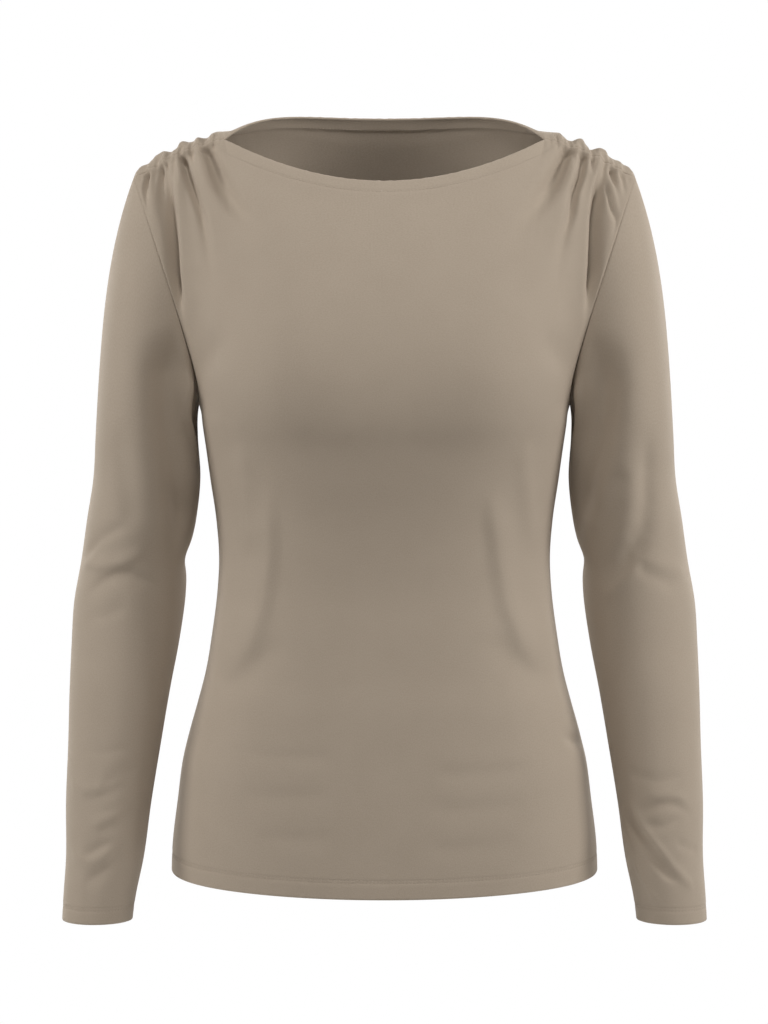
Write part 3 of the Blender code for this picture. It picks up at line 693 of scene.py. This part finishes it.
def node(tree, kind, inputs={}, **settings):
    made = tree.nodes.new(kind)
    for key, value in settings.items():
        setattr(made, key, value)
    return fed(made, inputs)


def worked_out(tree, operation, *values):
    return node(tree, "ShaderNodeMath", dict(enumerate(values)), operation=operation).outputs[0]


def new_group(name, kind, inputs, outputs):
    """A node group, with what it is given and what it gives back."""
    group = bpy.data.node_groups.new(name, kind)
    for in_out, sockets in (("INPUT", inputs), ("OUTPUT", outputs)):
        for label, socket in sockets.items():
            group.interface.new_socket(label, in_out=in_out, socket_type="NodeSocket" + socket)
    return group, node(group, "NodeGroupInput").outputs, node(group, "NodeGroupOutput")


def new_material(name):
    material = bpy.data.materials.new(name)
    material.use_nodes = True
    return material, material.node_tree, material.node_tree.nodes["Principled BSDF"]


def make_knit_loops():
    """A shader group: the height and shade of rows of knitted loops at a place on the cut."""
    group, given, result = new_group(
        "Jersey loops",
        "ShaderNodeTree",
        {"Wales per metre": "Float", "Courses per metre": "Float", "Cut": "Vector"},
        {"Height": "Float", "Heather": "Float"},
    )

    def work(operation, *values):
        return worked_out(group, operation, *values)

    apart = node(group, "ShaderNodeSeparateXYZ", {0: given["Cut"]}).outputs
    wale = work("FRACT", work("MULTIPLY", apart[0], given["Wales per metre"]))
    beside = work("ABSOLUTE", work("SUBTRACT", wale, 0.5))
    course = work("MULTIPLY", apart[1], given["Courses per metre"])
    loop = work("FRACT", work("ADD", course, beside))
    round_loop = work("SINE", work("MULTIPLY", loop, np.pi))
    furrow = work("POWER", work("MULTIPLY", beside, 2.0), WALE_SHARPNESS)
    height = work("SUBTRACT", round_loop, work("MULTIPLY", furrow, WALE_FURROW))
    yarn = node(group, "ShaderNodeTexNoise", {"Vector": given["Cut"], "Scale": 900.0, "Detail": 3.0})
    fed(result, {"Height": height, "Heather": yarn.outputs["Fac"]})
    return group


def make_jersey():
    material, tree, shader = new_material("taupe jersey")

    def mixture(first, first_share, second, second_share):
        first = worked_out(tree, "MULTIPLY", first, first_share)
        return worked_out(tree, "ADD", first, worked_out(tree, "MULTIPLY", second, second_share))

    loops = node(tree, "ShaderNodeGroup", node_tree=make_knit_loops())
    fed(loops, {
        "Wales per metre": WALES_PER_METRE,
        "Courses per metre": COURSES_PER_METRE,
        "Cut": node(tree, "ShaderNodeUVMap", uv_map="cut").outputs["UV"],
    })
    heather = loops.outputs["Heather"]
    place = node(tree, "ShaderNodeTexCoord").outputs["Object"]
    cloudy = node(tree, "ShaderNodeTexNoise", {"Vector": place, "Scale": 34.0, "Detail": 4.0})
    uneven = mixture(cloudy.outputs["Fac"], CLOUDY_SHARE, heather, HEATHER_SHARE)
    level = node(tree, "ShaderNodeMapRange", {"Value": uneven, "From Min": 0.36, "From Max": 0.60})
    tones = node(tree, "ShaderNodeMix", data_type="RGBA")
    fed(tones, {0: level.outputs["Result"], 6: TAUPE_DARK, 7: TAUPE})
    rough = node(tree, "ShaderNodeMapRange", {"Value": heather, "To Min": 0.80, "To Max": 0.92})
    height = mixture(loops.outputs["Height"], LOOP_HEIGHT, heather, YARN_HEIGHT)
    bump = node(tree, "ShaderNodeBump", {"Height": height, "Strength": 0.6, "Distance": 0.0004})
    fed(shader, {
        "Base Color": tones.outputs[2],
        "Roughness": rough.outputs["Result"],
        "Normal": bump.outputs["Normal"],
        "Specular IOR Level": 0.25,
        "Sheen Weight": 0.42,
        "Sheen Roughness": 0.45,
        "Sheen Tint": (0.92, 0.82, 0.7, 1.0),
    })
    return material


# The stitches: short matt threads of the same colour, sunk in their furrows
STITCH_PITCH, STITCH_LENGTH, STITCH_WIDTH = 2.8, 2.3, 0.45
THREAD_COLOUR = (0.385, 0.318, 0.25, 1.0)


def make_thread():
    material, tree, shader = new_material("taupe thread")
    place = node(tree, "ShaderNodeTexCoord").outputs["Object"]
    ply = node(tree, "ShaderNodeTexNoise", {"Vector": place, "Scale": 2600.0}).outputs["Fac"]
    bump = node(tree, "ShaderNodeBump", {"Height": ply, "Strength": 0.4, "Distance": 0.0001})
    fed(shader, {"Base Color": THREAD_COLOUR, "Roughness": 0.7, "Normal": bump.outputs["Normal"]})
    return material


def make_stitch_row():
    """A Geometry Nodes tree that lays threads along lines, each with its flat side on the cloth."""
    tree, given, result = new_group(
        "Row of stitches",
        "GeometryNodeTree",
        {"Lines": "Geometry", "Pitch": "Float", "Length": "Float", "Width": "Float", "Thread": "Material"},
        {"Stitches": "Geometry"},
    )

    def step(kind, inputs={}, **settings):
        return node(tree, kind, inputs, **settings).outputs[0]

    curve = step("GeometryNodeMeshToCurve", {"Mesh": given["Lines"]})
    spaced = step("GeometryNodeResampleCurve", {"Curve": curve, "Length": given["Pitch"]}, mode="LENGTH")
    ball = step("GeometryNodeMeshIcoSphere", {"Radius": 0.5, "Subdivisions": 1})
    facing = step("GeometryNodeInputNamedAttribute", {"Name": "facing"}, data_type="FLOAT_VECTOR")
    turn = "FunctionNodeAlignRotationToVector"
    along = step(turn, {"Vector": step("GeometryNodeInputTangent")}, axis="X")
    upright = step(turn, {"Rotation": along, "Vector": facing}, axis="Z", pivot_axis="X")
    size = step("ShaderNodeCombineXYZ", {"X": given["Length"], "Y": given["Width"], "Z": given["Width"]})
    laid = step("GeometryNodeInstanceOnPoints", {
        "Points": spaced,
        "Instance": step("GeometryNodeSetShadeSmooth", {"Geometry": ball}),
        "Rotation": upright,
        "Scale": size,
    })
    real = step("GeometryNodeRealizeInstances", {"Geometry": laid})
    coloured = step("GeometryNodeSetMaterial", {"Geometry": real, "Material": given["Thread"]})
    fed(result, {"Stitches": coloured})
    return tree


def sewn_rows(name, lines, closed=False):
    """The threads along a piece's lines of stitches, as one plain mesh."""
    places = np.concatenate([place for place, _ in lines])
    outs = np.concatenate([out for _, out in lines])
    edges, first = [], 0
    for place, _ in lines:
        count = len(place)
        last = count if closed else count - 1
        edges += [(first + i, first + (i + 1) % count) for i in range(last)]
        first += count
    mesh = bpy.data.meshes.new(name)
    mesh.from_pydata(places * MM, edges, [])
    facing = mesh.attributes.new("facing", "FLOAT_VECTOR", "POINT")
    facing.data.foreach_set("vector", outs.astype(np.float32).ravel())
    piece = placed(name, mesh)
    modifier = piece.modifiers.new("stitches", "NODES")
    modifier.node_group = stitch_row
    values = dict(Pitch=STITCH_PITCH * MM, Length=STITCH_LENGTH * MM, Width=STITCH_WIDTH * MM, Thread=thread)
    for socket in stitch_row.interface.items_tree:
        if socket.in_out == "INPUT" and socket.name in values:
            modifier[socket.identifier] = values[socket.name]
    bpy.context.view_layer.update()
    made = bpy.data.meshes.new_from_object(piece.evaluated_get(bpy.context.evaluated_depsgraph_get()))
    piece.modifiers.remove(modifier)
    piece.data = made
    return piece


jersey = make_jersey()
thread = make_thread()
stitch_row = make_stitch_row()
for body, folds, creases in ((FRONT, FRONT_FOLDS, FRONT_CREASES), (BACK, BACK_FOLDS, BACK_CREASES)):
    cloth, lines = body_cloth(body, folds, creases)
    piece = sewn_piece(body.name + "_jersey", cloth)
    stitches = sewn_rows(body.name + "_stitches", lines)
    for part in (piece, stitches):
        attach(part, "root")
    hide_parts(body.name)


# ------------------------------------------------------------------------------------------------------------
# Sleeves: one piece of the same jersey each, sewn up along the underarm and set into the armhole with a full
# cap. They are bent slightly, so the cloth creases inside the elbow. Each cuff is turned in and sewn down with
# two rows of stitches.

CAP_END_Z, CUFF_Z = -235.0, -617.0
CUFF_TURNED, CUFF_STITCHES = 14.5, (10.6, 12.6)
ROUND = 0.8  # millimetres round a sleeve for each degree

# The sleeve downwards: height, middle and half width, middle and half depth
SleeveRing = namedtuple("SleeveRing", "z x half_width y half_depth")
SLEEVE = [SleeveRing(*row) for row in (
    (-205, 189.4, 40.0, 5, 55.5),
    (-235, 190.4, 40.8, 6, 55.0),
    (-270, 190.6, 42.8, 9, 53.5),
    (-302, 194.9, 43.7, 11, 51.0),
    (-335, 200.6, 42.8, 12, 48.0),
    (-369, 204.8, 44.4, 10, 47.0),
    (-403, 208.0, 42.8, 4, 45.0),
    (-436, 211.4, 40.2, -4, 43.0),
    (-481, 215.2, 36.8, -14, 40.0),
    (-526, 219.0, 33.8, -25, 37.5),
    (-570, 221.4, 30.6, -35, 34.5),
    (-600, 225.2, 28.4, -41, 32.0),
    (-640, 228.0, 27.0, -47, 30.5),
)]

# Folds and creases lie in degrees round from the outer side by the front, and in height
SLEEVE_FOLDS = {
    -1: [
        (146, -282, 140, -330, 10, 2.0),
        (212, -331, 158, -337, 10, 2.8),
        (300, -328, 236, -346, 11, 2.6),
        (306, -366, 236, -380, 11, 2.2),
    ],
    1: [
        (210, -331, 158, -337, 10, 2.8),
        (302, -332, 238, -348, 11, 2.6),
        (308, -370, 238, -384, 11, 2.2),
    ],
}
SLEEVE_CREASES = {
    -1: [
        ([(98, -146), (102, -168), (110, -188), (119, -217), (127, -245), (136, -280), (148, -306),
          (160, -334)], 11, 17, 8.6),
        ([(120, -138), (125, -155), (129, -172), (136, -194), (144, -222), (159, -245),
          (170, -268)], 3.6, 3.6, -5),
        ([(140, -150), (146, -168), (155, -186), (163, -202), (165, -224), (170, -252)], 2.6, 2.8, 2.2),
        ([(58, -222), (63, -240), (67, -256), (74, -280), (83, -300), (90, -316)], 11, 8, 1.8),
        ([(18, -333), (34, -337), (54, -339), (74, -337), (90, -333), (110, -322)], 6, 4.5, -1.7),
        ([(22, -336), (38, -326), (52, -317), (68, -310), (86, -306)], 6, 5, 1.5),
        ([(36, -366), (50, -357), (62, -350), (76, -345), (92, -345), (110, -351),
          (134, -360)], 4, 8, 2),
        ([(44, -382), (70, -378), (96, -370)], 8, 5, 1),
        ([(50, -481), (64, -484), (84, -485), (104, -482), (130, -485)], 5, 4, 0.6),
        ([(80, -509), (92, -506), (104, -501), (118, -499), (142, -490)], 7, 5, 1),
        ([(28, -507), (42, -512), (60, -514), (76, -513), (94, -508)], 5, 4, -1),
        ([(48, -518), (64, -520), (80, -519), (96, -515), (110, -510), (130, -503)], 5, 7, 1.2),
        ([(56, -524), (72, -528), (92, -530), (110, -527), (134, -515)], 5, 5, 0.7),
        ([(62, -541), (78, -540), (92, -536), (106, -532), (122, -525)], 4.6, 4.6, -0.8),
        ([(76, -546), (90, -543), (106, -540), (122, -534), (140, -522)], 5, 8, 1.3),
        ([(58, -566), (70, -562), (82, -558), (96, -555), (118, -552)], 4.4, 4.4, 1.5),
        ([(32, -558), (46, -565), (62, -568), (78, -568), (94, -563), (110, -551)], 4.6, 4.4, -1.2),
        ([(62, -585), (74, -582), (88, -578), (102, -572), (116, -562), (134, -548)], 4.6, 8, 1.7),
    ],
    1: [
        ([(98, -150), (103, -174), (113, -199), (121, -222), (134, -256), (146, -280), (156, -300),
          (166, -330)], 11, 17, 8.6),
        ([(121, -136), (125, -152), (130, -171), (138, -194), (146, -217), (159, -245),
          (168, -270)], 3.6, 3.6, -5),
        ([(143, -150), (148, -166), (155, -187), (165, -201), (170, -222), (176, -244)], 2.6, 2.8, 2.2),
        ([(62, -226), (64, -245), (66, -264), (70, -287), (79, -308), (92, -324), (110, -338),
          (142, -358)], 9, 10, 4.6),
        ([(92, -258), (98, -271), (106, -291), (121, -310), (150, -334)], 8, 10, 1.6),
        ([(84, -338), (97, -344), (112, -353), (138, -369)], 6, 6, -1.4),
        ([(102, -327), (94, -331), (80, -335), (60, -340), (41, -343), (26, -345)], 7.5, 7.5, -1.2),
        ([(98, -338), (88, -342), (72, -347), (60, -352), (46, -360)], 6.5, 9.5, 1.3),
        ([(142, -498), (126, -502), (99, -506), (72, -504), (50, -500)], 4, 5, 0.9),
        ([(132, -533), (117, -528), (99, -525), (79, -524), (60, -529), (46, -536)], 4, 4, 1.4),
        ([(116, -517), (100, -518), (82, -517), (66, -519), (50, -522)], 3.4, 3.4, -1),
        ([(146, -517), (134, -530), (118, -546), (100, -559), (84, -572), (60, -585),
          (48, -592)], 4.4, 4.4, -2),
        ([(160, -532), (148, -544), (130, -555), (110, -568), (94, -577), (72, -586)], 4, 9, 3.3),
        ([(122, -541), (108, -540), (92, -541), (74, -536), (58, -530)], 4, 3.4, 1.2),
        ([(80, -552), (66, -556), (48, -560), (34, -559)], 3.6, 3.6, 1),
        ([(148, -566), (138, -578), (124, -593), (108, -602)], 3.4, 3.4, -1.4),
    ],
}
for creases in SLEEVE_CREASES.values():  # the same behind both arms
    creases += [
        ([(214, -150), (222, -200), (220, -260)], 8, 8, 2.2),
        ([(240, -318), (268, -326), (300, -322)], 3, 8, 2),
        ([(236, -352), (266, -362), (304, -356)], 3, 8, 2.2),
        ([(244, -390), (272, -396), (298, -390)], 3, 7, 1.4),
        ([(236, -520), (262, -532), (292, -526)], 3, 6, 1.2),
        ([(250, -562), (274, -570), (300, -560)], 3, 6, 1.2),
    ]


def sleeve_surface(side):
    """angle runs round by the front, and w is 0 at the armhole, 1 under the cap and 2 at the cuff."""

    def ring(angle, z):
        x, half_width, y, half_depth = (
            through(SLEEVE, column, z) for column in ("x", "half_width", "y", "half_depth")
        )
        across = side * (x + half_width * np.cos(angle))
        return np.stack([across, y - half_depth * np.sin(angle), z], axis=-1)

    def surface(angle, w):
        angle, w = np.broadcast_arrays(np.asarray(angle, float), np.asarray(w, float))
        start = armhole(side, angle)
        end = ring(angle, np.full_like(angle, CAP_END_Z))
        falling = unit(ring(angle, np.full_like(angle, CAP_END_Z - 1)) - end)
        length = np.linalg.norm(end - start, axis=-1, keepdims=True)
        t = np.clip(w, None, 1)[..., None]
        cap = cubic(t, start, cap_leaving(side, angle) * length, end, falling * length)
        below = ring(angle, CAP_END_Z + (CUFF_Z - CAP_END_Z) * np.maximum(w - 1, 0))
        return np.where((w < 1)[..., None], cap, below)

    return surface


ROUND_COLUMNS = 66  # down the front's edge of the armhole, and as many up the back's
COLUMNS_CLOSER_UP = 1.2
CAP_ROWS, ARM_ROWS = 46, 150
CAP_ROWS_CLOSER_UP = 1.8
ABOVE_CUFF_ROWS = 18.0
CUFF_ROWS = (15.2, 14.3, 13.4, 12.6, 11.9, 11.3, 10.6, 9.8, 8.0, 6.0, 4.5, 3.0, 1.8, 0.9, 0.3, 0.0)
CAP_TURN = 0.08  # share of the cap over which the cloth turns into the armhole seam
CAP_CALM = 14.0  # folds die out this close to the seam


def round_the_armhole(shares):
    return np.pi * np.concatenate([shares, 2 - shares[-2:0:-1]])


def sleeve_cloth(side):
    length = CAP_END_Z - CUFF_Z
    sewn = round_the_armhole((np.arange(ROUND_COLUMNS + 1) / ROUND_COLUMNS) ** COLUMNS_CLOSER_UP)
    even = round_the_armhole(np.linspace(0, 1, ROUND_COLUMNS + 1))
    cap = (np.arange(CAP_ROWS + 1) / CAP_ROWS) ** CAP_ROWS_CLOSER_UP
    arm = np.linspace(1, 2 - ABOVE_CUFF_ROWS / length, ARM_ROWS + 1)[1:]
    w = np.concatenate([cap, arm, 2 - np.array(CUFF_ROWS) / length])[:, None]
    angle = sewn + (even - sewn) * smooth(w)
    surface = sleeve_surface(side)
    points = surface(angle, w)
    facing = -side * normals(surface, angle, np.broadcast_to(w, angle.shape))
    turning = 1 - smooth(w / CAP_TURN)
    seam = armhole_facing(side, angle[0], facing[0])
    facing = unit(facing + (seam - facing) * turning[..., None])

    z = points[..., 2]
    across = np.degrees(angle) * ROUND
    folds = [(a * ROUND, az, b * ROUND, bz, *walls) for a, az, b, bz, *walls in SLEEVE_FOLDS[side]]
    creases = [([(a * ROUND, h) for a, h in line], *walls) for line, *walls in SLEEVE_CREASES[side]]
    depth = folded(folds, across, z) + creased(creases, across, z)
    depth += creased(creases, across - 360 * ROUND, z) + creased(creases, across + 360 * ROUND, z)
    from_seam = np.linalg.norm(points - points[0], axis=-1)
    depth *= smooth(from_seam / CAP_CALM)

    from_cuff = (2 - w) * length * np.ones_like(angle)
    edges = [(from_cuff, CUFF_TURNED, CUFF_STITCHES)]
    points, thickness = turned_in(points, facing, depth + ditch(from_seam), edges)
    thickness[0] = SEAM_ALLOWANCE
    points[0, :, 0] += side * SEWN_APART
    cut = flat_cut(points, across, ROUND_COLUMNS // 2)
    cloth = Cloth(points, facing, np.maximum(thickness, THINNEST), cut)
    return cloth, stitch_lines(cloth, from_cuff, CUFF_STITCHES)


for name, side in (("sleeve_right", -1), ("sleeve_left", 1)):
    cloth, lines = sleeve_cloth(side)
    piece = sewn_piece(name + "_jersey", cloth, closed=True)
    stitches = sewn_rows(name + "_stitches", lines, closed=True)
    for part in (piece, stitches):
        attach(part, "root")
    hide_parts(name)


# ------------------------------------------------------------------------------------------------------------
# The studio, in metres: a plain pale floor under a white background, soft lights, and the camera of the
# photograph. The main lights stand to both sides and above, so the cloth is darker where it faces straight
# forwards or down. Two more stand behind and light its back.

FLOOR_Z, FLOOR_RADIUS, FLOOR_CORNERS = -1.35, 2.2, 96

turns = np.linspace(0, 2 * np.pi, FLOOR_CORNERS, endpoint=False)
rim = [(FLOOR_RADIUS * np.cos(turn), FLOOR_RADIUS * np.sin(turn), FLOOR_Z) for turn in turns]
floor_mesh = bpy.data.meshes.new("floor")
floor_mesh.from_pydata(rim, [], [range(FLOOR_CORNERS)])
paper, _, paper_shader = new_material("pale paper")
fed(paper_shader, {"Base Color": (0.9, 0.9, 0.9, 1.0), "Roughness": 0.9})
floor_mesh.materials.append(paper)
floor = placed("floor", floor_mesh)


def make_world():
    """A white background, and a dimmer and warmer light from all round."""
    world = bpy.data.worlds.new("studio")
    world.use_nodes = True
    tree = world.node_tree
    around = fed(tree.nodes["Background"], {"Color": (1.0, 0.92, 0.82, 1.0), "Strength": 0.085})
    white = node(tree, "ShaderNodeBackground", {"Color": (1.0, 1.0, 1.0, 1.0), "Strength": 1.0})
    seen = node(tree, "ShaderNodeLightPath").outputs["Is Camera Ray"]
    mix = node(tree, "ShaderNodeMixShader", {0: seen, 1: around.outputs[0], 2: white.outputs[0]})
    fed(tree.nodes["World Output"], {"Surface": mix.outputs[0]})
    return world


bpy.context.scene.world = make_world()

SoftLight = namedtuple("SoftLight", "name place aim size watts")
for soft in (
    SoftLight("above_front", (-0.05, -1.3, 1.8), (0.0, 0.0, -0.2), 0.8, 30.5),
    SoftLight("left_side", (-2.1, -0.6, 0.4), (-0.1, 0.0, -0.3), 0.8, 26.0),
    SoftLight("right_side", (2.1, -0.6, 0.4), (0.1, 0.0, -0.3), 0.8, 31.5),
    SoftLight("left_behind", (-1.5, 2.1, 0.5), (0.0, 0.0, -0.3), 0.9, 24.0),
    SoftLight("right_behind", (1.5, 2.1, 0.5), (0.0, 0.0, -0.3), 0.9, 24.0),
):
    lamp = bpy.data.lights.new(soft.name, "AREA")
    lamp.size = soft.size
    lamp.energy = soft.watts
    holder = placed(soft.name, lamp)
    holder.location = soft.place
    away = Vector(soft.aim) - Vector(soft.place)
    holder.rotation_euler = away.to_track_quat("-Z", "Y").to_euler()

CAMERA_AWAY = 2.6
CAMERA_AIM = Vector((-0.0004, 0.0, -0.2968))
CAMERA_DOWN = 1.6  # degrees that it looks down
MM_PER_PIXEL, PHOTO_HEIGHT = 0.8, 1024
SENSOR = 36.0  # millimetres, as the lens is given

view = bpy.data.cameras.new("photograph")
view.sensor_width = SENSOR
view.lens = SENSOR * CAMERA_AWAY / (PHOTO_HEIGHT * MM_PER_PIXEL * MM)
camera = placed("photograph", view)
down = np.radians(CAMERA_DOWN)
camera.location = CAMERA_AIM + CAMERA_AWAY * Vector((0.0, -np.cos(down), np.sin(down)))
camera.rotation_euler = (CAMERA_AIM - camera.location).to_track_quat("-Z", "Y").to_euler()
bpy.context.scene.camera = camera
bpy.context.scene.view_settings.view_transform = "Standard"
